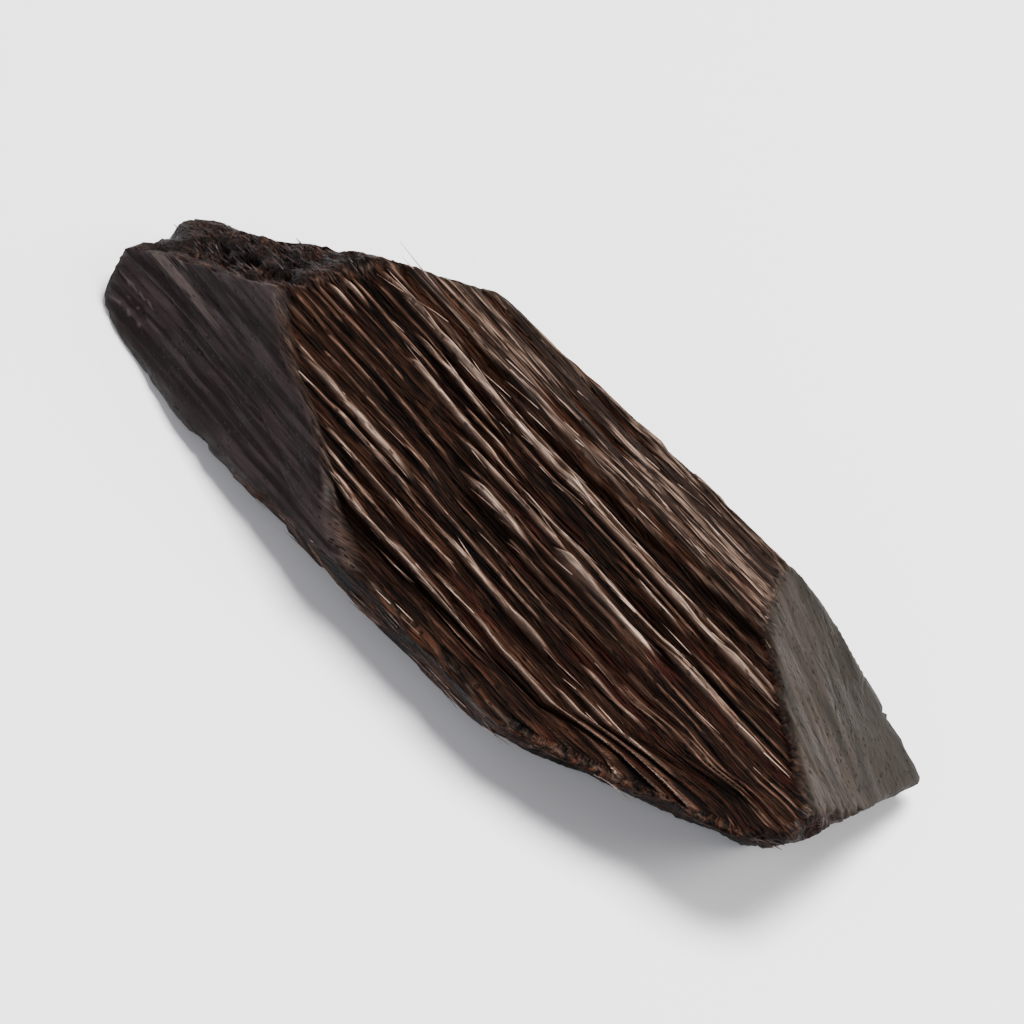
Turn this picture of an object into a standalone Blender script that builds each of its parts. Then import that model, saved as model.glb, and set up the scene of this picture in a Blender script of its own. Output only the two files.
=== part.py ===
"""Agarwood piece: one split chip of dark resinous wood, in metres, grain along X, resting on z = 0.

The outside is the overlap of the split and cut faces named below, with softened corners. The long faces
carry ridges and grooves that follow the fibres. The underside stays exactly flat, so the piece rests on it.
Lengths in the tables are millimetres.
"""
import math

import bmesh
import bpy
import numpy as np

MM = 0.001
THICK = 4.6
UNDERSIDE_Z = 0.0
CORNER_SOFT = 0.28
FIBRE_SLANT = 0.035
GROOVE_DEEP = 0.30
CREST_TAPER = 0.8
RIB_PITCH = 0.42
RIB_HALF = 0.10
RIB_HIGH = 0.62
SHEET_MARGIN = 1.35
ACROSS_FROM = -4.9
ACROSS_TO = 6.0
TOP_STEP = 0.118
UNDER_STEP = 0.62
RING_STEP = 1.05
FAN_RINGS = 5
FAN_END = 80.0
# How far each kind of face stands proud, to make up for the mean depth of its grooves.
PROUD = {"grooved": 0.02, "strip": 0.08, "back": 0.20, "side": 0.16, "broken": 0.24, "cut": 0.03}

# Each face: name, a point on it, turn round the grain (0 up, plus to the far side), lean to the tip, relief.
FACES = [
    ("grooved", (0.0, 1.9, THICK), -22.0, 0.0, "grooved"),
    ("ridge_strip", (0.0, 1.9, THICK), 12.0, 0.0, "strip"),
    ("near_side", (0.0, -4.22, 1.4), -100.0, 0.0, "side"),
    ("near_taper", (7.3, -4.31, 2.09), -133.0, 17.0, "side"),
    ("near_tip", (15.17, -1.79, 3.11), -142.0, 40.0, "broken"),
    ("back", (0.0, 4.78, 2.6), 64.0, -1.5, "back"),
    ("back_taper", (9.6, 4.85, 2.0), 80.0, 8.0, "back"),
    ("left_cut", (-9.96, -0.63, 3.58), -46.0, -10.0, "cut"),
    ("head_end", (-9.96, -0.63, 3.58), -6.5, -21.3, "broken"),
    ("head_back", (-8.5, 1.92, 4.5), 42.0, -24.0, "back"),
    ("head_low", (-15.6, 2.0, 0.6), 80.0, -50.0, "broken"),
    ("head_under", (-15.95, 0.0, 0.6), 175.0, -50.0, "broken"),
    ("tip_cut", (10.2, 1.9, THICK), 38.0, 21.0, "cut"),
    ("tip_end", (15.6, 1.0, 2.0), 60.0, 66.0, "broken"),
    ("tip_under", (14.8, 1.0, 1.9), 180.0, 42.0, "side"),
    ("near_under", (0.0, -4.0, 0.6), -140.0, 0.0, "side"),
    ("back_under", (0.0, 4.9, 0.9), 140.0, 0.0, "back"),
]

# Crests on the grooved face: from x, to x, place across the fibres, half width, height share.
CRESTS = [
    (-8.5, 12.5, 1.40, 0.13, 0.90),
    (-6.0, -1.0, 0.98, 0.11, 0.80),
    (-3.3, 1.2, 0.71, 0.09, 0.55),
    (-9.3, -7.4, 0.58, 0.12, 0.80),
    (-9.4, -7.4, 0.20, 0.12, 0.80),
    (-2.4, 3.6, 0.14, 0.11, 0.75),
    (3.0, 8.2, 0.00, 0.25, 1.00),
    (7.4, 14.0, 0.33, 0.11, 0.70),
    (-5.5, -1.0, -0.44, 0.08, 0.45),
    (-1.3, 2.7, -0.33, 0.15, 0.95),
    (-3.2, -1.3, -1.03, 0.10, 0.50),
    (-8.1, -1.7, -1.47, 0.17, 1.00),
    (-0.6, 6.2, -1.76, 0.13, 0.80),
    (6.9, 12.2, -1.88, 0.12, 0.72),
    (-2.0, -0.4, -2.14, 0.10, 0.55),
    (-5.7, -1.7, -2.88, 0.14, 0.95),
    (-1.0, 3.2, -2.84, 0.11, 0.55),
    (0.6, 5.6, -2.54, 0.10, 0.70),
    (-0.9, 0.9, -3.46, 0.11, 0.80),
    (2.0, 5.0, -3.45, 0.10, 0.45),
    (4.9, 8.2, 0.96, 0.10, 0.72),
    (8.0, 12.2, 0.76, 0.12, 0.50),
    (6.3, 10.2, -1.28, 0.13, 0.65),
    (10.3, 14.6, -0.71, 0.09, 0.50),
]

# Deep grooves on the grooved face: from x, to x, place across the fibres, half width, extra depth.
TROUGHS = [
    (-1.2, 9.6, -0.86, 0.36, 0.26),
    (-7.5, 9.4, 1.96, 0.30, 0.16),
    (0.0, 8.2, 0.58, 0.16, 0.12),
    (-4.0, 2.0, -2.42, 0.14, 0.10),
]


def hashed(i, j, k, seed):
    """A repeatable value from -1 to 1 for each whole-number grid point."""
    n = i.astype(np.int64) * 374761393 + j.astype(np.int64) * 668265263
    n = n + k.astype(np.int64) * 1274126177 + seed * 97777
    n = n & 0xFFFFFFFF
    n = ((n ^ (n >> 13)) * 1103515245 + 12345) & 0xFFFFFFFF
    n = ((n ^ (n >> 16)) * 1274126177) & 0xFFFFFFFF
    n = n ^ (n >> 15)
    return (n & 0xFFFFFF) / float(0x7FFFFF) - 1.0


def noise(x, y, z, seed):
    """Smooth noise from about -1 to 1."""
    i, j, k = np.floor(x), np.floor(y), np.floor(z)
    fx, fy, fz = x - i, y - j, z - k
    fx, fy, fz = fx * fx * (3 - 2 * fx), fy * fy * (3 - 2 * fy), fz * fz * (3 - 2 * fz)
    total = 0.0
    for a in (0, 1):
        wx = fx if a else 1 - fx
        for b in (0, 1):
            wy = fy if b else 1 - fy
            for c in (0, 1):
                wz = fz if c else 1 - fz
                total = total + wx * wy * wz * hashed(i + a, j + b, k + c, seed)
    return total


def step(low, high, value):
    t = np.clip((value - low) / (high - low), 0.0, 1.0)
    return t * t * (3 - 2 * t)


def soft_max(a, b, radius):
    h = np.maximum(radius - np.abs(a - b), 0.0) / radius
    return np.maximum(a, b) + h * h * radius * 0.25


def face_normal(turn, lean):
    t, n = math.radians(turn), math.radians(lean)
    return np.array([math.sin(n), math.cos(n) * math.sin(t), math.cos(n) * math.cos(t)])


def face_heights(p):
    """How far each point lies outside every named face, with a slow unevenness, as a list."""
    x, y, z = p[:, 0], p[:, 1], p[:, 2]
    heights = []
    for index, (name, point, turn, lean, relief) in enumerate(FACES):
        n = face_normal(turn, lean)
        sway = 0.16 if relief == "cut" else 0.11
        uneven = sway * noise(x / 5.5, y / 3.2, z / 3.2, 40 + index)
        uneven = uneven + 0.05 * noise(x / 2.1, y / 1.4, z / 1.4, 80 + index)
        heights.append((p - np.array(point)) @ n + uneven - PROUD[relief])
    return heights


def smooth_body(p):
    """Below zero inside the piece, before the fibres are worked in."""
    heights = face_heights(p)
    total = heights[0]
    for h in heights[1:]:
        total = soft_max(total, h, CORNER_SOFT)
    return soft_max(total, UNDERSIDE_Z - p[:, 2], CORNER_SOFT)


def fibre_place(p):
    """Place across the fibres: they slant a little over the length and waver slightly."""
    x, y, z = p[:, 0], p[:, 1], p[:, 2]
    waver = 0.05 * noise(x / 7.0, y / 2.5, z / 2.5, 7)
    return y + FIBRE_SLANT * x + waver, z + 0.04 * noise(x / 7.0, y / 2.5, z / 2.5, 8)


def fibre_noise(p, pitch, run, seed):
    """Noise that is long with the grain and narrow across it."""
    across, up = fibre_place(p)
    return noise(p[:, 0] / run, across / pitch, up / pitch, seed)


def ribs(p, pitch, half, seed):
    """Thin upright sheets of wood standing out of the face: nearly even, straight, fading in and out."""
    across, up = fibre_place(p)
    x = p[:, 0]
    across = across + 0.05 * pitch * noise(x / 2.2, across / pitch, up, seed)
    nearest = np.floor(across / pitch + 0.5)
    total = np.zeros(len(p))
    nought = np.zeros(len(p))
    for neighbour in (-1, 0, 1):
        rib = nearest + neighbour
        centre = (rib + 0.34 * hashed(rib, nought, nought, seed + 1)) * pitch
        strength = step(-0.16, 0.14, noise(x / 3.1, rib * 7.3, nought, seed + 2))
        strength = strength * (0.55 + 0.45 * hashed(rib, nought, nought, seed + 3))
        total = np.maximum(total, strength / (1.0 + ((across - centre) / half) ** 2))
    return total


def grooved_depth(p):
    x = p[:, 0]
    across, up = fibre_place(p)
    crest = RIB_HIGH * ribs(p, RIB_PITCH, RIB_HALF, 71)
    extra = np.zeros(len(p))
    for start, end, place, half, height in CRESTS:
        along = step(start - CREST_TAPER / 2, start + CREST_TAPER, x)
        along = along * step(end + CREST_TAPER / 2, end - CREST_TAPER, x)
        sway = 0.02 * np.sin(x * 0.6 + place * 5.0)
        off = (across - place - sway) / (half * (0.3 + 0.7 * along))
        crest = np.maximum(crest, height * along / (1.0 + off ** 4))
    for start, end, place, half, deeper in TROUGHS:
        along = step(start - 1.0, start + 1.0, x) * (1 - step(end - 1.2, end + 1.2, x))
        off = (across - place) / half
        fall = along / (1.0 + off ** 4)
        crest = crest * (1 - 0.75 * fall * (crest < 0.6))
        extra = extra + deeper * fall
    swell = 0.5 + 0.5 * noise(x / 4.0, across / 1.6, up / 1.6, 23)
    return GROOVE_DEEP * (0.75 + 0.25 * swell) * (1 - crest) + extra


def plain_depth(p, relief):
    if relief == "strip":
        lines = step(0.05, 0.75, fibre_noise(p, 0.26, 5.0, 31))
        return 0.20 * lines + 0.05 * (1 + fibre_noise(p, 0.5, 6.0, 32))
    if relief == "back":
        lines = step(-0.2, 0.7, fibre_noise(p, 0.34, 5.0, 33))
        broad = 0.5 + 0.5 * fibre_noise(p, 0.9, 7.0, 34)
        return 0.26 * lines + 0.16 * broad
    if relief == "side":
        lines = step(-0.1, 0.7, fibre_noise(p, 0.48, 5.0, 35))
        return 0.17 * lines + 0.10 * (0.5 + 0.5 * fibre_noise(p, 0.9, 6.0, 36))
    if relief == "broken":
        lumps = 0.5 + 0.5 * noise(p[:, 0] / 1.5, p[:, 1] / 0.45, p[:, 2] / 0.45, 37)
        stubs = step(-0.1, 0.5, fibre_noise(p, 0.32, 2.2, 38))
        return 0.22 * lumps + 0.20 * stubs
    return 0.03 + 0.03 * fibre_noise(p, 0.35, 3.5, 39)


def relief_depth(p):
    """How deep the fibres are worked in, blended over the corners; none on the underside."""
    heights = face_heights(p)
    heights.append(UNDERSIDE_Z - p[:, 2])
    top = np.max(heights, axis=0)
    weights = [step(-CORNER_SOFT, 0.0, h - top) for h in heights]
    total = np.sum(weights, axis=0)
    kinds = {}
    for weight, face in zip(weights, FACES):
        kinds[face[4]] = kinds.get(face[4], 0.0) + weight
    depth = np.zeros(len(p))
    for kind, weight in kinds.items():
        part = grooved_depth(p) if kind == "grooved" else plain_depth(p, kind)
        depth = depth + weight * part
    return depth / total


def sheet(x):
    """The middle sheet inside the piece at x: its height and its two side limits."""
    z = float(np.interp(x, [-15.5, -10.0, 8.0, 14.6], [0.95, 1.5, 1.9, 2.5]))
    low, high = -50.0, 50.0
    for name, point, turn, lean, relief in FACES:
        n = face_normal(turn, lean)
        if abs(n[1]) < 0.05:
            continue
        y = point[1] - (n[0] * (x - point[0]) + n[2] * (z - point[2])) / n[1]
        if n[1] > 0:
            high = min(high, y)
        else:
            low = max(low, y)
    low, high = low + SHEET_MARGIN, high - SHEET_MARGIN
    if low > high:
        low = high = (low + high) / 2
    return z, low, high


def ray_rows():
    """The rings: x of the sheet and the fan angle towards the head (minus) or the tip (plus)."""
    head, tip = -13.6, 13.4
    rows = [(head, -FAN_END * (1 - i / FAN_RINGS)) for i in range(FAN_RINGS)]
    count = round((tip - head) / RING_STEP)
    rows += [(head + (tip - head) * i / count, 0.0) for i in range(count + 1)]
    rows += [(tip, FAN_END * (i + 1) / FAN_RINGS) for i in range(FAN_RINGS)]
    return rows


def ray_lines():
    """The lines along the grain: place across, and plus 1 for the top or minus 1 for the underside."""
    top = round((ACROSS_TO - ACROSS_FROM) / TOP_STEP)
    under = round((ACROSS_TO - ACROSS_FROM) / UNDER_STEP)
    lines = [(ACROSS_FROM + (ACROSS_TO - ACROSS_FROM) * i / top, 1.0) for i in range(top + 1)]
    lines += [(ACROSS_TO - (ACROSS_TO - ACROSS_FROM) * i / under, -1.0) for i in range(1, under)]
    return lines


def cast():
    """The surface points, found along rays that leave the middle sheet."""
    rows, lines = ray_rows(), ray_lines()
    starts, ways = [], []
    for x, fan in rows:
        z, low, high = sheet(x)
        for place, side in lines:
            y = min(max(place, low), high)
            tilt = 0.0
            if place > high:
                tilt = 90.0 * (place - high) / (ACROSS_TO - high)
            if place < low:
                tilt = -90.0 * (low - place) / (low - ACROSS_FROM)
            t, f = math.radians(tilt), math.radians(fan)
            starts.append((x, y, z))
            ways.append((math.sin(f), math.cos(f) * math.sin(t), side * math.cos(f) * math.cos(t)))
    starts, ways = np.array(starts), np.array(ways)
    near, far = np.zeros(len(starts)), np.full(len(starts), 14.0)
    for turn in range(42):
        middle = (near + far) / 2
        inside = smooth_body(starts + ways * middle[:, None]) < 0
        near = np.where(inside, middle, near)
        far = np.where(inside, far, middle)
    hit = starts + ways * near[:, None]
    depth = relief_depth(hit)
    surface = hit - ways * depth[:, None]
    surface[:, 2] = np.where(np.abs(surface[:, 2]) < 1e-4, 0.0, surface[:, 2])
    surface[:, 2] = np.maximum(surface[:, 2], 0.0)
    return surface.reshape(len(rows), len(lines), 3)


def close_end(mesh, ring, places, top_count):
    """Close an end ring by lacing its top line to its underside line, nearest places first."""
    i, j = 0, len(ring) - 1
    while i < top_count - 1 or j > top_count:
        next_top = places[i + 1] if i < top_count - 1 else math.inf
        next_under = places[j - 1] if j > top_count else math.inf
        if next_top <= next_under:
            mesh.faces.new((ring[i], ring[i + 1], ring[j]))
            i += 1
        else:
            mesh.faces.new((ring[i], ring[j - 1], ring[j]))
            j -= 1


def skin(points):
    """Faces between neighbouring points, closed round the grain and laced shut at both ends."""
    mesh = bmesh.new()
    rings = [[mesh.verts.new(p) for p in ring] for ring in points]
    size = len(rings[0])
    for a, b in zip(rings, rings[1:]):
        for i in range(size):
            j = (i + 1) % size
            mesh.faces.new((a[i], b[i], b[j], a[j]))
    lines = ray_lines()
    places = [place for place, side in lines]
    top_count = sum(1 for place, side in lines if side > 0)
    close_end(mesh, rings[0], places, top_count)
    close_end(mesh, rings[-1], places, top_count)
    bmesh.ops.triangulate(mesh, faces=mesh.faces, quad_method="SHORT_EDGE")
    bmesh.ops.recalc_face_normals(mesh, faces=mesh.faces)
    return mesh


def wood():
    """Dark brown resinous wood."""
    material = bpy.data.materials.new("agarwood")
    material.use_nodes = True
    shader = material.node_tree.nodes["Principled BSDF"]
    shader.inputs["Base Color"].default_value = (0.045, 0.024, 0.016, 1.0)
    shader.inputs["Roughness"].default_value = 0.5
    return material


for old in list(bpy.data.objects):
    bpy.data.objects.remove(old, do_unlink=True)

points = cast()
middle_x = (points[..., 0].min() + points[..., 0].max()) / 2
middle_y = (points[..., 1].min() + points[..., 1].max()) / 2
points = points - np.array([middle_x, middle_y, 0.0])
body = skin(points)
bmesh.ops.scale(body, vec=(MM, MM, MM), verts=body.verts)
data = bpy.data.meshes.new("agarwood_piece")
body.to_mesh(data)
body.free()
piece = bpy.data.objects.new("agarwood_piece", data)
bpy.context.scene.collection.objects.link(piece)
data.materials.append(wood())
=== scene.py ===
"""Looks of the agarwood piece: a split chip of dark resinous wood lying on its flat underside.

The wood's skin is made from the same faces, crests and troughs as the solid, on a much finer net, with the
fine fibres, flakes and broken ends worked in. Lengths in the tables are millimetres.
"""
import math

import bmesh
import bpy
import numpy as np
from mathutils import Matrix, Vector


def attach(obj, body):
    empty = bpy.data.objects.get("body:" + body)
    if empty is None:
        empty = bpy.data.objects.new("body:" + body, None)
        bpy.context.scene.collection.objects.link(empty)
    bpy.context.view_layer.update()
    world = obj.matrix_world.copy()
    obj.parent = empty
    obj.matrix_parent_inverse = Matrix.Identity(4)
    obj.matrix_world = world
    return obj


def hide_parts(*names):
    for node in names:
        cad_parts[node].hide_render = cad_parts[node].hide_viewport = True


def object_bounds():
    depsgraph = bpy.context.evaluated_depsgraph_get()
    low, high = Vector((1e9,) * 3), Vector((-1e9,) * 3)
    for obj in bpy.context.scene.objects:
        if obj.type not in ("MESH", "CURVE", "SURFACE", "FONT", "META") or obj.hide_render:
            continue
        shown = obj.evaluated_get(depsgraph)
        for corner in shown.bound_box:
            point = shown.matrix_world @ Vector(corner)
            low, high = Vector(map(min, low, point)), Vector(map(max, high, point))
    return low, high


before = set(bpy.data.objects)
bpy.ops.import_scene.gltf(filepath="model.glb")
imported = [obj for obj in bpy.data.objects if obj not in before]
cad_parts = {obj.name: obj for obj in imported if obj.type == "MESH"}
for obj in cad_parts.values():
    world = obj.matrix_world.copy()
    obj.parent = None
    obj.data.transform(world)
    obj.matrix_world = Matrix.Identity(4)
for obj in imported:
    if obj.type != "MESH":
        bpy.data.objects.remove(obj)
cad_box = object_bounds()

MM = 0.001
THICK = 4.6
UNDERSIDE_Z = 0.0
CORNER_SOFT = 0.28
CORNER_REACH = 0.28
FIBRE_SLANT = 0.035
GROOVE_DEEP = 0.30
CREST_TAPER = 0.8
TROUGH_TAPER_HEAD = 1.0
TROUGH_TAPER_TIP = 1.2
# The stretch over which one kind of face gives way to the next.
FACE_BLEND = 0.11
# Only this much of each crest to a side of its line is pale.
PALE_HALF = 0.13

# The thin ribs between the crests: the coarse relief and the fine one have to use the same lines.
LAMELLA_PITCH = 0.42
LAMELLA_SEED = 71

# The skin is cast along rays that leave a middle sheet: its heights at some places along the grain, how far
# it stays inside the sides, and where the rays start to fan out towards the head and the tip.
SHEET_X = [-15.5, -10.0, 8.0, 14.6]
SHEET_Z = [0.95, 1.5, 1.9, 2.5]
SHEET_MARGIN = 1.35
SHEET_HEAD = -13.6
SHEET_TIP = 13.4
RAY_REACH = 14.0
FIRST_HALVINGS = 30
LAST_HALVINGS = 15
# The smooth body's surface is looked for from this far inside the first guess to this far outside it.
GUESS_INSIDE = 0.6
GUESS_OUTSIDE = 0.9
# Distances between lines along the grain, on the top and the underside, and between rings across it; the
# rings at each end fan out to FAN_END degrees.
ACROSS_FROM = -4.9
ACROSS_TO = 6.0
TOP_STEP = 0.026
UNDER_STEP = 0.105
RING_STEP = 0.185
FAN_RINGS = 16
FAN_END = 84.0
# Metres that the looks stay inside the solid's box.
BOX_GAP = 0.00001
# The solid's box is centred on the row origin, which moves the whole piece by this much.
CENTRE_X = -0.314
CENTRE_Y = 0.543
# How far each kind of face stands proud, to make up for the mean depth of its grooves.
PROUD = {"grooved": 0.02, "strip": 0.08, "back": 0.20, "side": 0.16, "broken": 0.24, "cut": 0.03}

# Each face: name, a point on it, turn round the grain (0 up, plus to the far side), lean to the tip, relief.
FACES = [
    ("grooved", (0.0, 1.9, THICK), -22.0, 0.0, "grooved"),
    ("ridge_strip", (0.0, 1.9, THICK), 12.0, 0.0, "strip"),
    ("near_side", (0.0, -4.22, 1.4), -100.0, 0.0, "side"),
    ("near_taper", (7.3, -4.31, 2.09), -133.0, 17.0, "side"),
    ("near_tip", (15.17, -1.79, 3.11), -142.0, 40.0, "broken"),
    ("back", (0.0, 4.78, 2.6), 64.0, -1.5, "back"),
    ("back_taper", (9.6, 4.85, 2.0), 80.0, 8.0, "back"),
    ("left_cut", (-9.96, -0.63, 3.58), -46.0, -10.0, "cut"),
    ("head_end", (-9.96, -0.63, 3.58), -6.5, -21.3, "broken"),
    ("head_back", (-8.5, 1.92, 4.5), 42.0, -24.0, "back"),
    ("head_low", (-15.6, 2.0, 0.6), 80.0, -50.0, "broken"),
    ("head_under", (-15.95, 0.0, 0.6), 175.0, -50.0, "broken"),
    ("tip_cut", (10.2, 1.9, THICK), 38.0, 21.0, "cut"),
    ("tip_end", (15.6, 1.0, 2.0), 60.0, 66.0, "broken"),
    ("tip_under", (14.8, 1.0, 1.9), 180.0, 42.0, "side"),
    ("near_under", (0.0, -4.0, 0.6), -140.0, 0.0, "side"),
    ("back_under", (0.0, 4.9, 0.9), 140.0, 0.0, "back"),
]

# Crests on the grooved face: from x, to x, place across the fibres, half width, height share.
CRESTS = [
    (-8.5, 12.5, 1.40, 0.13, 0.90),
    (-6.0, -1.0, 0.98, 0.11, 0.80),
    (-3.3, 1.2, 0.71, 0.09, 0.55),
    (-9.3, -7.4, 0.58, 0.12, 0.80),
    (-9.4, -7.4, 0.20, 0.12, 0.80),
    (-2.4, 3.6, 0.14, 0.11, 0.75),
    (3.0, 8.2, 0.00, 0.25, 1.00),
    (7.4, 14.0, 0.33, 0.11, 0.70),
    (-5.5, -1.0, -0.44, 0.08, 0.45),
    (-1.3, 2.7, -0.33, 0.15, 0.95),
    (-3.2, -1.3, -1.03, 0.10, 0.50),
    (-8.1, -1.7, -1.47, 0.17, 1.00),
    (-0.6, 6.2, -1.76, 0.13, 0.80),
    (6.9, 12.2, -1.88, 0.12, 0.72),
    (-2.0, -0.4, -2.14, 0.10, 0.55),
    (-5.7, -1.7, -2.88, 0.14, 0.95),
    (-1.0, 3.2, -2.84, 0.11, 0.55),
    (0.6, 5.6, -2.54, 0.10, 0.70),
    (-0.9, 0.9, -3.46, 0.11, 0.80),
    (2.0, 5.0, -3.45, 0.10, 0.45),
    (4.9, 8.2, 0.96, 0.10, 0.72),
    (8.0, 12.2, 0.76, 0.12, 0.50),
    (6.3, 10.2, -1.28, 0.13, 0.65),
    (10.3, 14.6, -0.71, 0.09, 0.50),
]

# Deep grooves on the grooved face: from x, to x, place across the fibres, half width, extra depth.
TROUGHS = [
    (-1.2, 9.6, -0.86, 0.36, 0.26),
    (-7.5, 9.4, 1.96, 0.30, 0.16),
    (0.0, 8.2, 0.58, 0.16, 0.12),
    (-4.0, 2.0, -2.42, 0.14, 0.10),
]


def hashed(i, j, k, seed):
    """A repeatable value from -1 to 1 for each whole-number grid point."""
    n = i.astype(np.int64) * 374761393 + j.astype(np.int64) * 668265263
    n = n + k.astype(np.int64) * 1274126177 + seed * 97777
    n = n & 0xFFFFFFFF
    n = ((n ^ (n >> 13)) * 1103515245 + 12345) & 0xFFFFFFFF
    n = ((n ^ (n >> 16)) * 1274126177) & 0xFFFFFFFF
    n = n ^ (n >> 15)
    return (n & 0xFFFFFF) / float(0x7FFFFF) - 1.0


def noise(x, y, z, seed):
    """Smooth noise from about -1 to 1."""
    i, j, k = np.floor(x), np.floor(y), np.floor(z)
    fx, fy, fz = x - i, y - j, z - k
    fx, fy, fz = fx * fx * (3 - 2 * fx), fy * fy * (3 - 2 * fy), fz * fz * (3 - 2 * fz)
    total = 0.0
    for a in (0, 1):
        wx = fx if a else 1 - fx
        for b in (0, 1):
            wy = fy if b else 1 - fy
            for c in (0, 1):
                wz = fz if c else 1 - fz
                total = total + wx * wy * wz * hashed(i + a, j + b, k + c, seed)
    return total


def step(low, high, value):
    """A smooth rise from 0 at low to 1 at high."""
    t = np.clip((value - low) / (high - low), 0.0, 1.0)
    return t * t * (3 - 2 * t)


def soft_max(a, b, radius):
    """The larger of two, with the change from one to the other rounded."""
    h = np.maximum(radius - np.abs(a - b), 0.0) / radius
    return np.maximum(a, b) + h * h * radius * 0.25


def face_normal(turn, lean):
    """The way that a face looks, from its turn round the grain and its lean towards the tip."""
    t, n = math.radians(turn), math.radians(lean)
    return np.array([math.sin(n), math.cos(n) * math.sin(t), math.cos(n) * math.cos(t)])


def face_heights(p):
    """How far each point lies outside every named face, with a slow unevenness, as a list."""
    x, y, z = p[:, 0], p[:, 1], p[:, 2]
    heights = []
    for index, (name, point, turn, lean, relief) in enumerate(FACES):
        n = face_normal(turn, lean)
        sway = 0.16 if relief == "cut" else 0.11
        uneven = sway * noise(x / 5.5, y / 3.2, z / 3.2, 40 + index)
        uneven = uneven + 0.05 * noise(x / 2.1, y / 1.4, z / 1.4, 80 + index)
        heights.append((p - np.array(point)) @ n + uneven - PROUD[relief])
    return heights


def smooth_body(p):
    """Below zero inside the piece, before the fibres are worked in."""
    heights = face_heights(p)
    total = heights[0]
    for h in heights[1:]:
        total = soft_max(total, h, CORNER_SOFT)
    return soft_max(total, UNDERSIDE_Z - p[:, 2], CORNER_SOFT)


def flat_body(p):
    """The same without any unevenness, as a quick first guess."""
    total = UNDERSIDE_Z - p[:, 2]
    for name, point, turn, lean, relief in FACES:
        total = np.maximum(total, (p - np.array(point)) @ face_normal(turn, lean))
    return total


def fibre_place(p):
    """Place across the fibres: they slant a little over the length and waver slightly."""
    x, y, z = p[:, 0], p[:, 1], p[:, 2]
    waver = 0.05 * noise(x / 7.0, y / 2.5, z / 2.5, 7)
    return y + FIBRE_SLANT * x + waver, z + 0.04 * noise(x / 7.0, y / 2.5, z / 2.5, 8)


def across_cut(p):
    """Place across the grain in the plane of the nearer cut, so that its streaks run the whole cut."""
    turns = [math.radians(face[2]) for face in FACES if face[4] == "cut"]
    left, tip = [p[:, 1] * math.cos(turn) - p[:, 2] * math.sin(turn) for turn in turns]
    return np.where(p[:, 0] < 0, left, tip)


def fibre_noise(p, pitch, run, seed):
    """Noise that is long with the grain and narrow across it."""
    across, up = fibre_place(p)
    return noise(p[:, 0] / run, across / pitch, up / pitch, seed)


def crest_runs(p):
    """For each named crest: its height, how many half widths off its line each point is, and the half."""
    x = p[:, 0]
    across = fibre_place(p)[0]
    uneven = 0.76 + 0.24 * noise(x / 0.9, across / 0.5, np.zeros(len(p)), 24)
    for start, end, place, half, height in CRESTS:
        # Each crest tapers over a length of its own and sways in its own way, and its near side is steeper.
        taper = CREST_TAPER * (1.0 + 1.6 * ((place * 7.7) % 1.0))
        along = step(start - taper / 2, start + taper, x) * step(end + taper / 2, end - taper, x)
        sway = 0.02 * np.sin(x * 0.6 + place * 5.0)
        off = (across - place - sway) / (half * (0.3 + 0.7 * along))
        yield height * uneven * along, np.where(off > 0, 0.75 * off, 1.25 * off), half


def grooved_depth(p):
    """Depth of the large grooves on the grooved face, between its crests."""
    x = p[:, 0]
    across, up = fibre_place(p)
    crest = 0.62 * lamellae(p, LAMELLA_PITCH, half=0.085, seed=LAMELLA_SEED)
    extra = np.zeros(len(p))
    for high, off, half in crest_runs(p):
        crest = np.maximum(crest, high / (1.0 + (off / 0.66) ** 4))
    for start, end, place, half, deeper in TROUGHS:
        along = step(start - TROUGH_TAPER_HEAD, start + TROUGH_TAPER_HEAD, x)
        along = along * (1 - step(end - TROUGH_TAPER_TIP, end + TROUGH_TAPER_TIP, x))
        off = (across - place) / half
        fall = along / (1.0 + off ** 4)
        crest = crest * (1 - 0.75 * fall * (crest < 0.6))
        extra = extra + deeper * fall
    crest = crest * (0.76 + 0.24 * sheets(p, pitch=0.11, run=3.0, seed=99))
    swell = 0.5 + 0.5 * noise(x / 4.0, across / 1.6, up / 1.6, 23)
    return GROOVE_DEEP * (0.75 + 0.25 * swell) * (1 - crest) + extra


def plain_depth(p, relief):
    """Depth of the large grooves and lumps of every other kind of face."""
    if relief == "strip":
        lines = step(0.05, 0.75, fibre_noise(p, pitch=0.26, run=5.0, seed=31))
        return 0.20 * lines + 0.05 * (1 + fibre_noise(p, pitch=0.5, run=6.0, seed=32))
    if relief == "back":
        lines = step(-0.2, 0.7, fibre_noise(p, pitch=0.34, run=5.0, seed=33))
        broad = 0.5 + 0.5 * fibre_noise(p, pitch=0.9, run=7.0, seed=34)
        return 0.26 * lines + 0.16 * broad
    if relief == "side":
        lines = step(-0.1, 0.7, fibre_noise(p, pitch=0.48, run=5.0, seed=35))
        return 0.17 * lines + 0.10 * (0.5 + 0.5 * fibre_noise(p, pitch=0.9, run=6.0, seed=36))
    if relief == "broken":
        lumps = 0.5 + 0.5 * noise(p[:, 0] / 1.5, p[:, 1] / 0.45, p[:, 2] / 0.45, 37)
        stubs = step(-0.1, 0.5, fibre_noise(p, pitch=0.32, run=2.2, seed=38))
        return 0.22 * lumps + 0.20 * stubs
    return 0.03 + 0.03 * fibre_noise(p, pitch=0.35, run=3.5, seed=39)


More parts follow.
